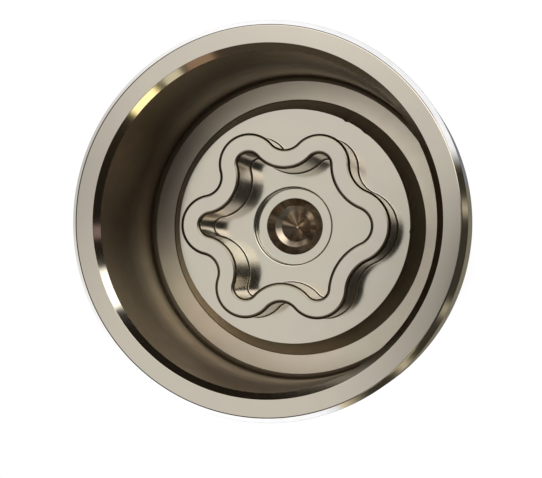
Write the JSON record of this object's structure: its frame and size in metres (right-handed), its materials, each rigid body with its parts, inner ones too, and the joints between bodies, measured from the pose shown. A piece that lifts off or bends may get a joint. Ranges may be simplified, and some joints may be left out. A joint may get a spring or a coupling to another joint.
{
  "type": "locking wheel nut key",
  "caption": "Round key for a locking wheel nut: a lobed rib on a boss inside a deep round cup, with stepped wrench hexagons at the far end.",
  "frame": {"origin": "centre of the flat drive end, which the key stands on", "axes": "+Z along the key's axis from the drive end to the open mouth, +X through the middle of the broad lobe of the rib to within two degrees"},
  "size_m": [0.028, 0.028, 0.0454],
  "materials": {
    "plated_steel": "turned and milled, bright warm nickel plating"
  },
  "bodies": {
    "root": {"wheel_nut_key": "plated_steel"}
  },
  "joints": []
}
